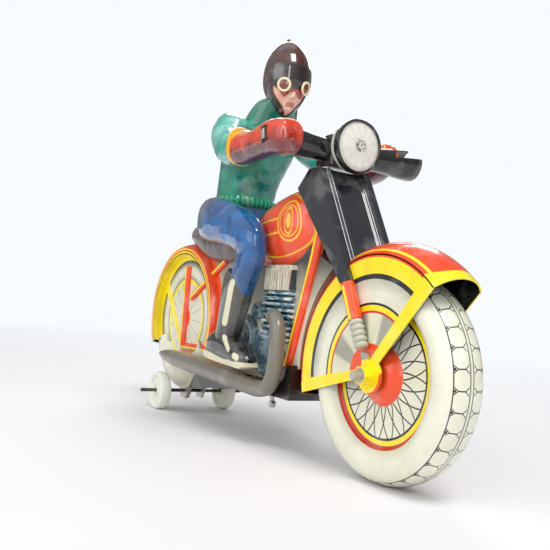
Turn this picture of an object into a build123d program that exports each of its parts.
from build123d import *
import math
import os

# Tin wind-up motorcycle with a rider.
# Millimetres. +X is forwards, +Y is the rider's left, +Z is up, the ground is Z = 0.
# Everything is drawn with the front axle at X = 0 and moved at the end, so that the
# origin is at the middle of the toy's bottom.

# ---- overall sizes
wheelbase = 132.0
front_wheel_radius = 31.0
tin = 0.6                      # thickness of the pressed sheet
gap = 0.3                      # air between pieces that move apart
running = 0.05                 # radial clearance of a shaft that turns
seat_fit = 0.02                # radial clearance of a shaft that is fixed

# ---- front wheel
tyre_half_width = 7.6
rim_radius = front_wheel_radius - 10.4
disc_half_width = 3.4
hub_radius = 8.6
hub_half_width = 7.0
front_axle_radius = 1.5
axle_end_radius = 1.3          # turned-down end beyond the nut
axle_end_length = 2.6
washer_tin = 0.5
nut_height = 1.7

# ---- front mudguard and fork
panel_half_width = 8.8         # outside of the fork panels
mudguard_radius = 35.0         # where panel and crown meet
mudguard_crown = 4.2           # height of the crown above that
mudguard_front = 48.0          # degrees above the axle, front end
mudguard_back = 196.0          # rear end
eye_radius = 5.2               # round end of the panel about the axle
end_tin = 1.2                  # thickness of the leg's flattened end
fork_rake = 60.0               # slope of the shroud in degrees
shroud_half_width = panel_half_width + 1.5
shroud_foot = (-10.1, 57.0)    # lower end of the shroud's front face
shroud_height = 43.0
shroud_depth_foot = 5.3
shroud_depth_head = 12.0
rib_y = 5.6                    # pressed ribs on the shroud's front
rib_half_width = 0.7
rib_height = 0.7
steering_radius = 2.6
steering_set_back = 6.0
leg_radius = 2.1
leg_top = (-10.2, 55.7)
spring_low = (-1.6, 38.6)
leg_share = 0.54               # how much of that run is the plain leg
spring_rings = 6

# ---- handlebar and headlamp
bar_x = -34.0
bar_z = 100.2
bar_rise = 1.6                 # how much higher the ends are
bar_radius = 3.9
grip_radius = 5.6
bar_half_length = 30.0
stem_half_width = 7.6
lamp_z = 101.9
lamp_front = -25.3
lamp_radius = 8.8
lens_radius = 8.0
lamp_depth = 8.0
rim_depth = 2.2
lens_dome = 1.0
lens_tin = 0.8

# ---- body shell
body_half_width = 6.4
tank_half_width = 12.0
engine_half_width = 9.6
barrel_half_width = 8.8        # of the cylinder below its head
seat_half_width = 11.0
tube_radius = 1.9
rear_wheel_centre = (-wheelbase, 39.5)
rear_tyre_radius = 30.0
fender_radius = 30.6
fender_crown = 2.6
fender_half_width = 9.6
fender_front = -20.0           # degrees above the rear wheel's centre, front end
fender_back = 205.0            # rear end

# ---- base pan
pan_half_width = 9.2

# ---- road axle and its wheels
road_axle_radius = 0.75
road_axle_half_length = 24.0
small_wheel_radius = 7.9
small_wheel_width = 4.6
small_wheel_y = 15.4

# ---- clockwork
plate_half_width = 4.2         # outside of the motor plates
plate_tin = 0.7
gear_module = 0.6
great_teeth = 50
second_teeth = 48
second_pinion_teeth = 12
axle_pinion_teeth = 10
great_centre = (-wheelbase + 20.0, 36.0)
gear_width = 0.8
arbor_radius = 1.0
spring_turns = 6
spring_outer = 11.0
spring_inner = 1.9
spring_half_width = 1.7
spring_tin = 0.45
key_bow_radius = 5.4
key_reach = 27.0
key_hole_radius = 3.0

# ---- exhaust
exhaust_y = 13.0
pipe_radius = 2.6
muffler_radius = 3.5
port = (-52.0, 43.5)           # where the pipe leaves the cylinder
pipe_front = -44.5             # foremost line of the pipe
elbow_z = 40.5
elbow_radius = 4.5
pipe_end = (-58.0, 19.8)
silencer_tail = (-141.0, 22.9)
tail_radius = 0.8
swell_share = 0.31             # where along its length the silencer is at its full width
taper_share = 0.76             # where it starts to narrow again

# ---- rider
seat_z = 78.5
hip_x = -100.0
head_centre = (-74.5, 0.0, 134.0)
head_radii = (9.8, 8.3, 14.3)
head_levels = (-0.985, -0.85, -0.6, -0.2, 0.2, 0.6, 0.85, 0.985)   # shares of its half height
leg_outside = 20.0             # outer side of the legs
boot_outside = 19.0
leg_bevel = 2.4
glove_y = 25.6

# ---- stop lever
lever_pivot = (-66.0, 21.2)
lever_knob = (-52.6, 14.6)
lever_y = 7.5
lever_pin_radius = 0.6

AXLE = (0.0, front_wheel_radius)
road_centre = (-wheelbase, small_wheel_radius)


def slab(outline, y_low, y_high):
    """Extrude an outline drawn in X and Z from one Y to another."""
    return extrude(Plane.XZ.offset(-y_high) * outline, amount=y_high - y_low)


def right_slab(outline, y_inner, y_outer):
    """The same on the right side, with both distances counted outwards."""
    return slab(outline, -y_outer, -y_inner)


def shape(*points):
    """A closed outline with straight sides."""
    return make_face(Polyline(*points, close=True))


def smooth(*points):
    """A closed outline that runs smoothly through its points."""
    return make_face(Spline(*points, periodic=True))


def polar(centre, radius, degrees):
    """A point on a circle in the XZ plane."""
    angle = math.radians(degrees)
    return (centre[0] + radius * math.cos(angle), centre[1] + radius * math.sin(angle))


def sector(centre, radius, start, end):
    """A pie slice from one angle to another."""
    middle = polar(centre, radius, (start + end) / 2)
    arc = ThreePointArc(polar(centre, radius, start), middle, polar(centre, radius, end))
    return make_face([arc, Line(arc @ 1, centre), Line(centre, arc @ 0)])


def disc(centre, radius):
    """A round outline in the XZ plane."""
    return Pos(centre[0], centre[1]) * Circle(radius)


def rod(centre, radius, y_low, y_high):
    """A round bar along Y."""
    return slab(disc(centre, radius), y_low, y_high)


def tube_between(start, end, radius, end_radius=None):
    """A straight round bar, or a cone, between two points in space."""
    a, b = Vector(*start), Vector(*end)
    reach = b - a
    plane = Plane(origin=a, z_dir=reach)
    far = plane.offset(reach.length)
    if end_radius is None:
        return extrude(plane * Circle(radius), amount=reach.length)
    return loft([plane * Circle(radius), far * Circle(end_radius)])


def ball(centre, radius):
    """A round joint between two limbs, with its seam towards the back."""
    return Pos(*centre) * Sphere(radius)


def egg(centre, radii):
    """An egg shape."""
    return Pos(*centre) * scale(Sphere(1), by=radii)


def limb(stations):
    """A rounded limb lofted through circles: each station is a point and a radius."""
    points = [Vector(*point) for point, radius in stations]
    circles = []
    for i, (point, radius) in enumerate(stations):
        ahead = points[min(i + 1, len(points) - 1)] - points[max(i - 1, 0)]
        circles.append(Plane(origin=points[i], z_dir=ahead) * Circle(radius))
    return loft(circles)


def left(piece):
    """The mirrored piece for the other side."""
    return mirror(piece, about=Plane.XZ)


def section_plane(centre, degrees=0.0):
    """Plane through a wheel's centre for a section: local X points outwards, local Y is Y."""
    angle = math.radians(degrees)
    return Plane(origin=(centre[0], 0, centre[1]), x_dir=(math.cos(angle), 0, math.sin(angle)),
                 z_dir=(-math.sin(angle), 0, math.cos(angle)))


def turned(section, centre, start=0.0, sweep_angle=360.0):
    """Revolve a section about a wheel's centre, upwards from its starting direction."""
    axis = Axis((centre[0], 0, centre[1]), (0, -1, 0))
    return revolve(section_plane(centre, start) * section, axis, sweep_angle)


# ------------------------------------------------------------------ front wheel
def wheel_profile(wall):
    """Half of the wheel's section, radius against width, drawn a wall inside the tin."""
    bore = front_axle_radius + running
    rise = tyre_half_width - wall
    return make_face([
        Line((bore, 0), (bore, hub_half_width - wall)),
        Spline((bore, hub_half_width - wall), (hub_radius * 0.62, hub_half_width - 1.1 - wall),
               (hub_radius - wall, disc_half_width - wall)),
        Line((hub_radius - wall, disc_half_width - wall), (rim_radius + wall, disc_half_width - wall)),
        Spline((rim_radius + wall, disc_half_width - wall),
               (rim_radius + 1.6 + wall, rise * 0.83),
               ((rim_radius + front_wheel_radius) / 2, rise),
               (front_wheel_radius - 2.0 - wall, rise * 0.68),
               (front_wheel_radius - wall, 0)),
        Line((front_wheel_radius - wall, 0), (bore, 0)),
    ])


def front_wheel_half():
    """One pressed half of the wheel, open towards the middle."""
    outside = turned(wheel_profile(0), AXLE)
    inside = turned(wheel_profile(tin), AXLE)
    sleeve = rod(AXLE, front_axle_radius + running + tin, 0, tyre_half_width)
    return outside - (inside - sleeve)


wheel_left = front_wheel_half()
nodes = {}
nodes["front_wheel_left"] = wheel_left
nodes["front_wheel_right"] = left(wheel_left)

# ------------------------------------------------------------------ fork panels and mudguard
def fork_panel():
    """Flat side of the fork: a slice of the wheel's outline with a stay in front."""
    outer = sector(AXLE, mudguard_radius, mudguard_front, mudguard_back)
    eye = disc(AXLE, eye_radius)
    flat = right_slab(outer + eye, panel_half_width - tin, panel_half_width)
    return flat - rod(AXLE, front_axle_radius + seat_fit, -panel_half_width - 1, 0)


def mudguard():
    """The rounded crown that joins the two panels over the wheel."""
    crown = make_face([
        ThreePointArc((mudguard_radius, -panel_half_width),
                      (mudguard_radius + mudguard_crown, 0),
                      (mudguard_radius, panel_half_width)),
        Line((mudguard_radius, panel_half_width), (mudguard_radius, panel_half_width - tin)),
        ThreePointArc((mudguard_radius, panel_half_width - tin),
                      (mudguard_radius + mudguard_crown - tin, 0),
                      (mudguard_radius, -panel_half_width + tin)),
        Line((mudguard_radius, -panel_half_width + tin), (mudguard_radius, -panel_half_width)),
    ])
    return turned(crown, AXLE, mudguard_front, mudguard_back - mudguard_front)


panel_right = fork_panel()
nodes["fork_panel_right"] = panel_right
nodes["fork_panel_left"] = left(panel_right)
nodes["front_mudguard"] = mudguard()

axle_shoulder = panel_half_width + end_tin + washer_tin + nut_height
axle_reach = axle_shoulder + axle_end_length
nodes["front_axle"] = rod(AXLE, front_axle_radius, -axle_shoulder, axle_shoulder) \
    + rod(AXLE, axle_end_radius, -axle_reach, axle_reach)


def axle_nut():
    """Hexagon nut on the axle's end."""
    start = panel_half_width + end_tin
    washer = right_slab(disc(AXLE, 2.1 * front_axle_radius), start, start + washer_tin)
    nut = right_slab(Pos(*AXLE) * RegularPolygon(1.9 * front_axle_radius, 6), start + washer_tin, axle_shoulder)
    return (nut + washer) - rod(AXLE, front_axle_radius + seat_fit, -axle_reach - 1, 0)


nut_right = axle_nut()
nodes["axle_nut_right"] = nut_right
nodes["axle_nut_left"] = left(nut_right)

# ------------------------------------------------------------------ fork legs and springs
leg_line_y = -(panel_half_width + leg_radius + seat_fit)
leg_head = Vector(leg_top[0], leg_line_y, leg_top[1])
spring_foot = Vector(spring_low[0], leg_line_y, spring_low[1])
leg_foot = leg_head + (spring_foot - leg_head) * leg_share


def fork_leg():
    """Round upper leg, from the shroud down to the spring."""
    return tube_between(leg_head, leg_foot, leg_radius)


def fork_spring():
    """Ribbed spring cover below the leg, a stack of rounded rings."""
    reach = (leg_foot - spring_foot).length
    pitch = reach / spring_rings
    plane = Plane(origin=spring_foot, z_dir=leg_foot - spring_foot)
    spring = extrude(plane * Circle(leg_radius * 0.8), amount=reach)
    for i in range(spring_rings):
        spring += plane * Pos(0, 0, pitch * (i + 0.5)) * Torus(leg_radius - pitch * 0.3, pitch * 0.3)
    return spring


def fork_end():
    """Flattened lower end of the leg, with the eye round the axle."""
    strap = shape((AXLE[0] - 1.5, AXLE[1]), (AXLE[0] + 1.5, AXLE[1]),
                  (spring_low[0] + 1.5, spring_low[1] - 1.2), (spring_low[0] - 1.5, spring_low[1] - 1.2))
    flat = right_slab(strap + disc(AXLE, 3.4), panel_half_width, panel_half_width + end_tin)
    return flat - rod(AXLE, front_axle_radius + seat_fit, -axle_reach, 0)


leg_right = fork_leg()
spring_right = fork_spring()
end_right = fork_end()
nodes["fork_leg_right"] = leg_right
nodes["fork_leg_left"] = left(leg_right)
nodes["fork_spring_right"] = spring_right
nodes["fork_spring_left"] = left(spring_right)
nodes["fork_end_right"] = end_right
nodes["fork_end_left"] = left(end_right)

# ------------------------------------------------------------------ fork shroud
slope = Vector(-math.cos(math.radians(fork_rake)), math.sin(math.radians(fork_rake)))
foot = Vector(*shroud_foot)
shroud_head = foot + slope * shroud_height


def shroud_side():
    """Outline of one side of the shroud."""
    return shape((foot.X, foot.Y), (shroud_head.X, shroud_head.Y), (shroud_head.X - 6.0, shroud_head.Y),
                 (shroud_head.X - shroud_depth_head, shroud_head.Y - 6.0), (foot.X - shroud_depth_foot, foot.Y))


def sloping(low, high, depth):
    """A strip along the shroud's front face, from one distance to another above its foot."""
    a, b = foot + slope * low, foot + slope * high
    return shape((a.X, a.Y), (b.X, b.Y), (b.X - depth, b.Y), (a.X - depth, a.Y))


def steering_tube(extra=0.0):
    """Tube behind the shroud that joins the fork to the body."""
    low = foot + slope * 6.0 - Vector(steering_set_back, 0)
    high = foot + slope * (shroud_height - 2.0) - Vector(steering_set_back, 0)
    return tube_between((low.X, 0, low.Y), (high.X, 0, high.Y), steering_radius + extra)


def shroud():
    """Channel of bent sheet in front of the steering tube, with two pressed ribs."""
    channel = slab(sloping(0, shroud_height, tin), -shroud_half_width, shroud_half_width)
    for side in (-1, 1):
        wall = right_slab(shroud_side(), shroud_half_width - tin, shroud_half_width)
        channel += wall if side < 0 else left(wall)
        rib = right_slab(sloping(3.0, shroud_height - 3.0, -rib_height), rib_y - rib_half_width,
                         rib_y + rib_half_width)
        channel += rib if side < 0 else left(rib)
    over_wheel = mudguard_radius + mudguard_crown + gap
    return channel - slab(disc(AXLE, over_wheel), -shroud_half_width + tin, shroud_half_width - tin)


nodes["steering_tube"] = steering_tube() - slab(disc(AXLE, mudguard_radius + mudguard_crown + gap), -9, 9)
nodes["fork_shroud"] = shroud()

# ------------------------------------------------------------------ handlebar, grips and headlamp
grip_z = bar_z + bar_rise


def bar_half(extra=0.0):
    """Right half of the handlebar, a cone that widens to the grip."""
    inner = (bar_x, -stem_half_width, bar_z)
    outer = (bar_x, -bar_half_length, grip_z)
    return tube_between(inner, outer, bar_radius + extra, grip_radius + extra)


def stem_block(extra=0.0):
    """Block in the middle that carries the bar and the headlamp."""
    block = Pos(bar_x, 0, bar_z) * Box(9.0 + 2 * extra, 2 * (stem_half_width + extra), 10.5 + 2 * extra)
    return fillet(block.edges().filter_by(Axis.Y), 2.0)


def handlebar():
    """Both halves and the stem block, hollow and open at the ends and towards the rider."""
    halves = bar_half() + left(bar_half())
    bore = bar_half(-tin * 1.2) + left(bar_half(-tin * 1.2))
    past = tube_between((bar_x, -bar_half_length + 0.2, grip_z),
                        (bar_x, -bar_half_length - 1, grip_z), grip_radius - tin * 1.2)
    return halves - bore - past - left(past) + stem_block()


nodes["handlebar"] = handlebar() - slab(shroud_side(), -shroud_half_width, shroud_half_width) \
    - steering_tube(seat_fit)


def lamp_shell():
    """Bowl of the headlamp, seated on the stem."""
    centre_x = lamp_front - rim_depth
    bowl = make_face([
        Line((0, 0), (lamp_radius - 0.3, 0)),
        Spline((lamp_radius - 0.3, 0), (lamp_radius * 0.86, lamp_depth * 0.45),
               (lamp_radius * 0.5, lamp_depth * 0.86), (0, lamp_depth)),
        Line((0, lamp_depth), (0, 0)),
    ])
    plane = Plane(origin=(centre_x, 0, lamp_z), x_dir=(0, 0, 1), z_dir=(0, -1, 0))
    cup = revolve(plane * bowl, Axis((centre_x, 0, lamp_z), (1, 0, 0)))
    room = slab(sloping(0, shroud_height, shroud_depth_head), -shroud_half_width, shroud_half_width)
    back = Pos(bar_x - lamp_depth, 0, bar_z) * Box(2 * lamp_depth + 9.0, 40, 40)
    return cup - back - room


def lamp_ring(inner, outer, x_low, x_high):
    """A ring about the lamp's axis."""
    plane = Plane(origin=(x_low, 0, lamp_z), z_dir=(1, 0, 0))
    return extrude(plane * (Circle(outer) - Circle(inner)), amount=x_high - x_low)


def lamp_lens():
    """Slightly domed disc in the rim."""
    plane = Plane(origin=(lamp_front, 0, lamp_z), x_dir=(0, 0, 1), z_dir=(0, 1, 0))
    edge = lens_radius - seat_fit
    section = make_face([
        ThreePointArc((0, lens_dome), (edge * 0.5, lens_dome * 0.75), (edge, 0)),
        Line((edge, 0), (edge, -lens_tin)),
        Line((edge, -lens_tin), (0, -lens_tin)),
        Line((0, -lens_tin), (0, lens_dome)),
    ])
    return revolve(plane * section, Axis((lamp_front, 0, lamp_z), (1, 0, 0)))


nodes["headlamp_shell"] = lamp_shell()
nodes["headlamp_rim"] = lamp_ring(lens_radius, lamp_radius, lamp_front - rim_depth, lamp_front + 0.4)
nodes["headlamp_lens"] = lamp_lens()

# ------------------------------------------------------------------ body shell
tube_path = [(-31.5, 82.0), (-35.0, 66.0), (-46.5, 27.0)]
rail_path = [(-46.5, 26.5), (-97.0, 27.8), (-131.0, 26.9)]
strut_path = [(-131.5, 27.0), (-132.0, 62.0)]
diagonal_path = [(-126.5, 48.5), (-97.0, 64.5)]


def body_outline():
    """Side view of the whole body shell."""
    front = polar(AXLE, mudguard_radius + mudguard_crown + gap, 128)
    low_front = polar(AXLE, mudguard_radius + mudguard_crown + gap, 184)
    mid_front = polar(AXLE, mudguard_radius + mudguard_crown + gap, 156)
    edge = ThreePointArc(front, mid_front, low_front)
    rear_low = polar(rear_wheel_centre, rear_tyre_radius, -62)
    rear_back = polar(rear_wheel_centre, rear_tyre_radius, 180)
    rear_top = polar(rear_wheel_centre, rear_tyre_radius, 62)
    wheel = ThreePointArc(rear_low, polar(rear_wheel_centre, rear_tyre_radius, -120), rear_back)
    wheel_top = ThreePointArc(rear_back, polar(rear_wheel_centre, rear_tyre_radius, 120), rear_top)
    return make_face([
        edge,
        Line(edge @ 1, (-56.0, 22.5)),
        Line((-56.0, 22.5), (-100.0, 22.0)),
        Line((-100.0, 22.0), rear_low),
        wheel,
        wheel_top,
        Line(rear_top, (-84.0, 70.0)),
        Line((-84.0, 70.0), (-42.0, 70.0)),
        Line((-42.0, 70.0), edge @ 0),
    ])


def tank_outline():
    """Side view of the petrol tank."""
    return smooth((-31.0, 84.0), (-33.5, 75.0), (-43.0, 64.5), (-58.0, 61.0), (-76.0, 63.5),
                  (-79.0, 72.0), (-72.0, 81.5), (-52.0, 88.0), (-37.0, 89.0))


def seat_outline():
    """Side view of the saddle and the box under it."""
    return smooth((-133.0, 75.5), (-128.0, 79.0), (-112.0, 78.5), (-92.0, 77.0), (-80.0, 76.0),
                  (-79.0, 68.0), (-92.0, 63.5), (-110.0, 64.5), (-124.0, 70.5))


def engine_outlines():
    """Cylinder head, cylinder, crankcase and gearbox, with how far each stands out."""
    head_block = shape((-45.0, 60.5), (-44.0, 53.5), (-61.0, 53.5), (-62.0, 60.5))
    barrel = shape((-45.5, 54.0), (-45.0, 36.0), (-63.0, 36.0), (-62.0, 54.0))
    crankcase = disc((-60.0, 33.0), 9.6)
    gearbox = disc((-76.0, 36.0), 8.6)
    return [(head_block, engine_half_width), (barrel, barrel_half_width),
            (crankcase, engine_half_width - 1.2), (gearbox, engine_half_width - 1.8)]


def band(centre, inner, outer, start, end):
    """A ring-shaped strip from one angle to another."""
    return sector(centre, outer, start, end) - disc(centre, inner)


def pillow(outline, half_width):
    """A swollen pressing on the right side: an outline cut from a flattened egg."""
    box = outline.bounding_box()
    middle = box.center()
    swell = egg((middle.X, 0, middle.Y), (box.size.X * 0.6, half_width, box.size.Y * 0.68))
    return right_slab(outline, 0, half_width) & swell


def run_of_tube(path, y, radius):
    """Half-round tubes pressed into the side, with round joints."""
    pieces = [tube_between((a[0], y, a[1]), (b[0], y, b[1]), radius) for a, b in zip(path, path[1:])]
    pieces += [ball((p[0], y, p[1]), radius) for p in path]
    return pieces


def fender():
    """Rounded crown over the rear wheel, right half."""
    section = make_face([
        Line((fender_radius - 3.0, 0), (fender_radius - 3.0, fender_half_width)),
        Line((fender_radius - 3.0, fender_half_width), (fender_radius, fender_half_width)),
        ThreePointArc((fender_radius, fender_half_width),
                      (fender_radius + fender_crown * 0.8, fender_half_width * 0.55),
                      (fender_radius + fender_crown, 0)),
        Line((fender_radius + fender_crown, 0), (fender_radius - 3.0, 0)),
    ])
    return left(turned(section, rear_wheel_centre, fender_front, fender_back - fender_front))


def body_half():
    """One pressed side of the motorcycle: tank, saddle, engine, frame and rear wheel."""
    web = right_slab(body_outline(), 0, body_half_width)
    side = web + pillow(tank_outline(), tank_half_width)
    side += pillow(seat_outline(), seat_half_width)
    for outline, reach in engine_outlines():
        side += right_slab(outline, 0, reach)
    side += fender()
    for path in (tube_path, rail_path, strut_path, diagonal_path):
        side += run_of_tube(path, -body_half_width, tube_radius)
    side -= right_slab(offset(body_outline(), -tin), 0, body_half_width - tin)
    side -= right_slab(offset(shroud_side(), gap), body_half_width, tank_half_width + 1)
    side -= steering_tube(seat_fit)
    return side


body_right = body_half()

# ------------------------------------------------------------------ base pan
def base_pan():
    """Tray under the body, with an arched front end."""
    side = make_face([
        Line((-117.0, 10.8), (-66.0, 18.6)),
        Line((-66.0, 18.6), (-54.0, 17.6)),
        Line((-54.0, 17.6), (-40.2, 17.6)),
        ThreePointArc((-40.2, 17.6), (-39.6, 23.0), (-40.4, 29.2)),
        Spline((-40.4, 29.2), (-46.0, 27.8), (-54.0, 22.0), (-62.0, 22.4)),
        Line((-62.0, 22.4), (-110.0, 20.5)),
        Line((-110.0, 20.5), (-117.0, 10.8)),
    ])
    outside = slab(side, -pan_half_width, pan_half_width)
    inside = slab(offset(side, -tin), -pan_half_width + tin, pan_half_width - tin)
    open_top = Pos(0, 0, tin * 2) * inside
    return outside - inside - open_top


pan = base_pan()
slot = Pos(great_centre[0], 0, 20) * Box(26, 2 * plate_half_width + 1.2, 30)
envelope = slab(body_outline(), -body_half_width, body_half_width)
knob_slot = Pos(lever_knob[0] - 3.5, -lever_y, lever_knob[1]) * Box(14.0, 3.0, 9.0)
nodes["base_pan"] = pan - slot - envelope - knob_slot

# ------------------------------------------------------------------ exhausts
def exhaust():
    """Pipe that curls down from the cylinder, and a silencer that tapers to a point."""
    start = Vector(pipe_end[0], -exhaust_y, pipe_end[1])
    tail = Vector(silencer_tail[0], -exhaust_y, silencer_tail[1])
    along = (tail - start).normalized()
    corner = start - along * (pipe_front - start.X)
    route = FilletPolyline(Vector(port[0], -engine_half_width, port[1]), Vector(pipe_front, -exhaust_y, elbow_z),
                           corner, start + along * 2, radius=elbow_radius)
    pipe = sweep(Plane(origin=route @ 0, z_dir=route % 0) * Circle(pipe_radius), path=route)
    reach = (tail - start).length
    profile = make_face(Polyline((0, 0), (pipe_radius + 0.1, 0), (muffler_radius, reach * swell_share),
                                 (muffler_radius, reach * taper_share), (tail_radius, reach), (0, reach),
                                 close=True))
    plane = Plane(origin=start, x_dir=(0, -1, 0), z_dir=along.cross(Vector(0, -1, 0)) * -1)
    cylinder = slab(Pos(*port) * Circle(2 * pipe_radius), -barrel_half_width, 0)
    return pipe + revolve(plane * profile, Axis(start, along)) - cylinder


exhaust_right = exhaust()
nodes["exhaust_right"] = exhaust_right
nodes["exhaust_left"] = left(exhaust_right)

# ------------------------------------------------------------------ clockwork
def meet(first, second, first_reach, second_reach):
    """Where an arbor sits that meshes with a gear on each of two other arbors."""
    dx, dz = second[0] - first[0], second[1] - first[1]
    span = math.hypot(dx, dz)
    along = (first_reach ** 2 - second_reach ** 2 + span ** 2) / (2 * span)
    aside = math.sqrt(first_reach ** 2 - along ** 2)
    ux, uz = dx / span, dz / span
    return (first[0] + ux * along + uz * aside, first[1] + uz * along - ux * aside)


def pitch_radius(teeth):
    return gear_module * teeth / 2


second_centre = meet(great_centre, road_centre,
                     pitch_radius(great_teeth) + pitch_radius(second_pinion_teeth),
                     pitch_radius(second_teeth) + pitch_radius(axle_pinion_teeth))


gear_reach = pitch_radius(second_teeth) + gear_module + gap
gear_room = Pos(second_centre[0], 0, second_centre[1] - gear_reach) * Box(
    2 * gear_reach, 2 * plate_half_width + 1.2, 20)
key_hole = rod(great_centre, key_hole_radius, 0, key_reach)
nodes["body_right"] = body_right - gear_room
nodes["body_left"] = left(body_right) - gear_room - key_hole


def bearing(a, b):
    """Direction from one arbor to another in degrees."""
    return math.degrees(math.atan2(b[1] - a[1], b[0] - a[0]))


def gear(centre, teeth, first_tooth, y_low, y_high, bore):
    """Spur gear with straight-sided teeth; first_tooth is the direction of one tooth."""
    pitch = 360.0 / teeth
    root = pitch_radius(teeth) - 1.15 * gear_module
    tip = pitch_radius(teeth) + 0.85 * gear_module
    points = []
    for i in range(teeth):
        middle = first_tooth + i * pitch
        for reach, share in ((root, -0.30), (tip, -0.11), (tip, 0.11), (root, 0.30)):
            points.append(polar(centre, reach, middle + share * pitch))
    return slab(shape(*points) - disc(centre, bore), y_low, y_high)


to_second = bearing(great_centre, second_centre)
to_road = bearing(second_centre, road_centre)
half_pinion = 180.0 / second_pinion_teeth
half_axle_pinion = 180.0 / axle_pinion_teeth

second_y = (-3.3, -3.3 + gear_width)
great_y = (2.2, 2.2 + gear_width)
arbor_hole = arbor_radius + running
inside_plates = plate_half_width - plate_tin

great_blank = gear(great_centre, great_teeth, to_second, *great_y, arbor_hole)
for i in range(4):
    great_blank -= rod(polar(great_centre, 8.5, 45 + 90 * i), 3.0, -5, 5)
nodes["great_wheel"] = great_blank

arbor_body = rod(great_centre, arbor_radius, -plate_half_width - 0.8, plate_half_width + 0.3)
square = Pos(*great_centre) * Rectangle(arbor_radius * 1.4, arbor_radius * 1.4)
nodes["winding_arbor"] = arbor_body + slab(square, plate_half_width, key_reach - key_bow_radius)


def winding_key():
    """Folded sheet key with two round wings on a square sleeve."""
    sleeve_start = fender_half_width + 2.6
    sleeve = rod(great_centre, 2.0, sleeve_start, key_reach - key_bow_radius + 1.0)
    socket = slab(Pos(*great_centre) * Rectangle(arbor_radius * 1.4 + 0.04, arbor_radius * 1.4 + 0.04),
                  sleeve_start - 1, key_reach - key_bow_radius)
    wing_y = key_reach - key_bow_radius + 3.0
    wings = [Pos(great_centre[0], wing_y, great_centre[1] + side * key_bow_radius * 0.9) *
             Rot(0, 90, 0) * Cylinder(key_bow_radius, 0.9) for side in (-1, 1)]
    web = Pos(great_centre[0], wing_y - 1.5, great_centre[1]) * Box(0.9, 4.0, 6.0)
    return (sleeve + wings + web) - socket


nodes["winding_key"] = winding_key()

second_blank = gear(second_centre, second_teeth, to_road, *second_y, arbor_radius)
for i in range(4):
    second_blank -= rod(polar(second_centre, 8.5, 45 + 90 * i), 2.8, -5, 5)
nodes["second_wheel"] = second_blank
second_pinion = gear(second_centre, second_pinion_teeth,
                     to_second + 180 + half_pinion, great_y[0] - 0.4, great_y[1] + 0.4, arbor_radius)
nodes["second_pinion"] = second_pinion
nodes["second_arbor"] = rod(second_centre, arbor_radius, -plate_half_width - 0.5, plate_half_width + 0.5)

nodes["road_pinion"] = gear(road_centre, axle_pinion_teeth, to_road + 180 + half_axle_pinion,
                            second_y[0] - 0.1, second_y[1] + 0.4, road_axle_radius)
nodes["road_axle"] = rod(road_centre, road_axle_radius, -road_axle_half_length, road_axle_half_length)


def small_wheel():
    """Moulded road wheel with a raised hub and rounded tread."""
    low = -small_wheel_y - small_wheel_width / 2
    high = -small_wheel_y + small_wheel_width / 2
    tread = rod(road_centre, small_wheel_radius, low + 0.5, high - 0.5)
    tread = fillet(tread.edges(), 0.9)
    dish = rod(road_centre, small_wheel_radius - 2.0, low, low + 1.3)
    hub = rod(road_centre, 2.6, low, high)
    return (tread - dish + hub) - rod(road_centre, road_axle_radius, low - 1, high + 1)


wheel_small = small_wheel()
nodes["road_wheel_right"] = wheel_small
nodes["road_wheel_left"] = left(wheel_small)


def mainspring():
    """Flat coiled spring on the winding arbor."""
    steps = 24 * spring_turns
    inner_side, outer_side = [], []
    for i in range(steps + 1):
        angle = 360.0 * spring_turns * i / steps
        radius = spring_inner + (spring_outer - spring_inner) * i / steps
        inner_side.append(polar(great_centre, radius - spring_tin / 2, angle))
        outer_side.append(polar(great_centre, radius + spring_tin / 2, angle))
    strip = make_face([Spline(*inner_side), Line(inner_side[-1], outer_side[-1]),
                       Spline(*reversed(outer_side)), Line(outer_side[0], inner_side[0])])
    return slab(strip, -spring_half_width - 0.3, spring_half_width - 0.3)


nodes["mainspring"] = mainspring()

pillar_places = [(37.0 - wheelbase, 27.0), (35.0 - wheelbase, 50.0), (8.0 - wheelbase, 50.0)]


def motor_plate():
    """Right plate of the clockwork, with an arm down to the road axle."""
    ahead_of_axle = [(40.0, 25.0), (38.0, 53.0), (5.0, 53.5), (2.0, 44.0), (-10.0, 40.0), (-11.5, 20.0),
                     (-2.5, 5.0), (2.5, 5.0), (6.0, 11.5), (16.0, 19.0), (34.0, 24.0)]
    outline = shape(*[(x - wheelbase, z) for x, z in ahead_of_axle])
    plate = right_slab(outline, inside_plates, plate_half_width)
    for centre, radius in ((great_centre, arbor_hole), (second_centre, arbor_hole),
                           (road_centre, road_axle_radius + running)):
        plate -= rod(centre, radius, -6, 6)
    for place in pillar_places:
        plate -= rod(place, 0.8, -6, 6)
    return plate


plate_right = motor_plate()
nodes["motor_plate_right"] = plate_right
nodes["motor_plate_left"] = left(plate_right)
pillars = Part()
for place in pillar_places:
    pillars += rod(place, 1.4, -inside_plates, inside_plates)
    pillars += rod(place, 0.8, -body_half_width + tin, body_half_width - tin)
nodes["plate_pillars"] = pillars

# ------------------------------------------------------------------ rider
torso_sections = [(seat_z + 0.8, hip_x, 10.5, 11.4), (85.0, -99.5, 10.0, 11.4), (92.0, -98.0, 9.5, 11.4),
                  (104.0, -93.0, 9.5, 14.0), (114.0, -87.0, 8.5, 14.6), (120.0, -82.0, 6.0, 8.5),
                  (126.0, -76.5, 4.8, 5.6)]


def torso(wall):
    """Trunk of the rider, lofted through its oval sections."""
    ovals = [Plane(origin=(x, 0, z)) * Ellipse(a - wall, b - wall) for z, x, a, b in torso_sections]
    return loft(ovals)


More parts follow.
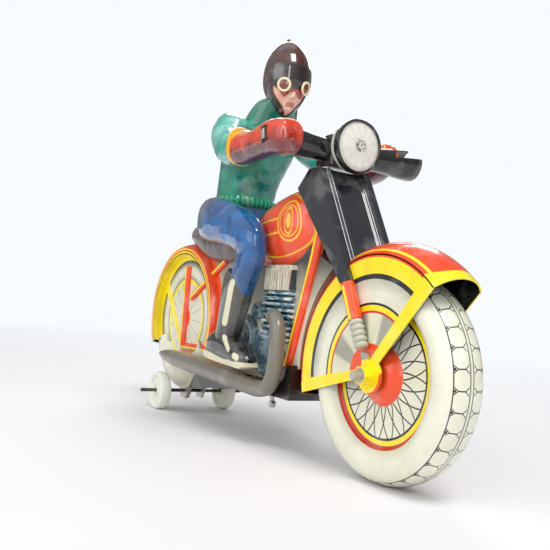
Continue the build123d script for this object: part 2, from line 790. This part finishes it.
def head(wall):
    """Head in its helmet, lofted through level ovals."""
    x, y, z = head_centre
    a, b, c = head_radii
    ovals = []
    for share in head_levels:
        width = math.sqrt(1 - share * share)
        plane = Plane(origin=(x, y, z + share * (c - wall)))
        ovals.append(plane * Ellipse(a * width - wall * 0.5, b * width - wall * 0.5))
    return loft(ovals)


def rider_shell():
    """Trunk and head, hollow."""
    return (torso(0) + head(0)) - torso(tin) - head(tin)


def seam_cut(front):
    """The half space in front of or behind the rider's side seam."""
    neck_z, neck_x = torso_sections[-1][:2]
    angle = math.degrees(math.atan2(neck_x - hip_x, neck_z - seat_z))
    block = Pos(50 if front else -50, 0, 0) * Box(100, 100, 200)
    return Pos(hip_x, 0, seat_z) * Rot(0, angle, 0) * block


figure = rider_shell()
nodes["rider_front"] = figure & seam_cut(True)
nodes["rider_back"] = figure & seam_cut(False)


def rider_leg():
    """Thigh and shin in one pressing, flat where it lies against the body, with the boot."""
    limb_side = shape((-108.0, 78.0), (-103.0, 86.0), (-90.0, 86.5), (-62.0, 79.0), (-56.5, 74.0),
                      (-56.0, 66.0), (-63.0, 50.0), (-68.0, 37.0), (-80.0, 36.5), (-78.0, 52.0),
                      (-74.0, 62.0), (-92.0, 68.5), (-104.0, 70.0))
    boot_side = shape((-84.0, 33.5), (-83.0, 28.6), (-70.0, 26.6), (-57.0, 26.4), (-56.0, 28.5),
                      (-67.5, 38.0), (-80.5, 38.5))
    inner = tank_half_width + seat_fit
    limb_block = right_slab(limb_side, inner, leg_outside)
    outer_face = limb_block.faces().sort_by(Axis.Y)[0]
    limb_block = chamfer(outer_face.edges(), leg_bevel)
    return limb_block + right_slab(boot_side, inner, boot_outside)


leg_piece = rider_leg()
nodes["rider_leg_right"] = leg_piece
nodes["rider_leg_left"] = left(leg_piece)


def rider_arm():
    """Sleeve and gauntlet, which ends behind the handlebar."""
    hand_x = bar_x - grip_radius - seat_fit
    return limb([((-86.0, -20.2, 116.5), 3.0), ((-84.0, -20.6, 113.0), 5.0), ((-72.0, -23.0, 104.5), 5.2),
                 ((-58.0, -25.0, 101.6), 5.0), ((-48.0, -glove_y, grip_z), 5.8),
                 ((hand_x, -glove_y, grip_z), 5.0)])


arm_piece = rider_arm()
nodes["rider_arm_right"] = arm_piece
nodes["rider_arm_left"] = left(arm_piece)

# ------------------------------------------------------------------ stop lever
def stop_lever():
    """Strip in the pan with a small knob under the front end."""
    px, pz = lever_pivot
    kx, kz = lever_knob
    strip = shape((px - 1.2, pz + 1.3), (px + 5.0, pz + 0.6), (kx + 0.3, kz + 3.2), (kx + 0.9, kz),
                  (kx - 0.9, kz), (kx - 1.8, kz + 2.2), (px + 4.6, pz - 1.1), (px - 1.2, pz - 1.3))
    lever = slab(strip, -lever_y - 0.3, -lever_y + 0.3) + rod(lever_knob, 1.2, -lever_y - 1.0, -lever_y + 0.7)
    return lever - rod(lever_pivot, lever_pin_radius + running, -10, 0)


nodes["stop_lever"] = stop_lever()
nodes["lever_pin"] = rod(lever_pivot, lever_pin_radius, -pan_half_width + tin, -body_half_width)

# ------------------------------------------------------------------ write the pieces
def overall(pieces):
    boxes = [piece.bounding_box() for piece in pieces]
    low = min(box.min.X for box in boxes)
    high = max(box.max.X for box in boxes)
    return low, high


low_x, high_x = overall(nodes.values())
shift = -(low_x + high_x) / 2
os.makedirs("parts", exist_ok=True)
for name, piece in nodes.items():
    export_step(Pos(shift, 0, 0) * piece, "parts/" + name + ".step")
print("shift of the front axle:", round(shift, 4))
print("second arbor:", second_centre)
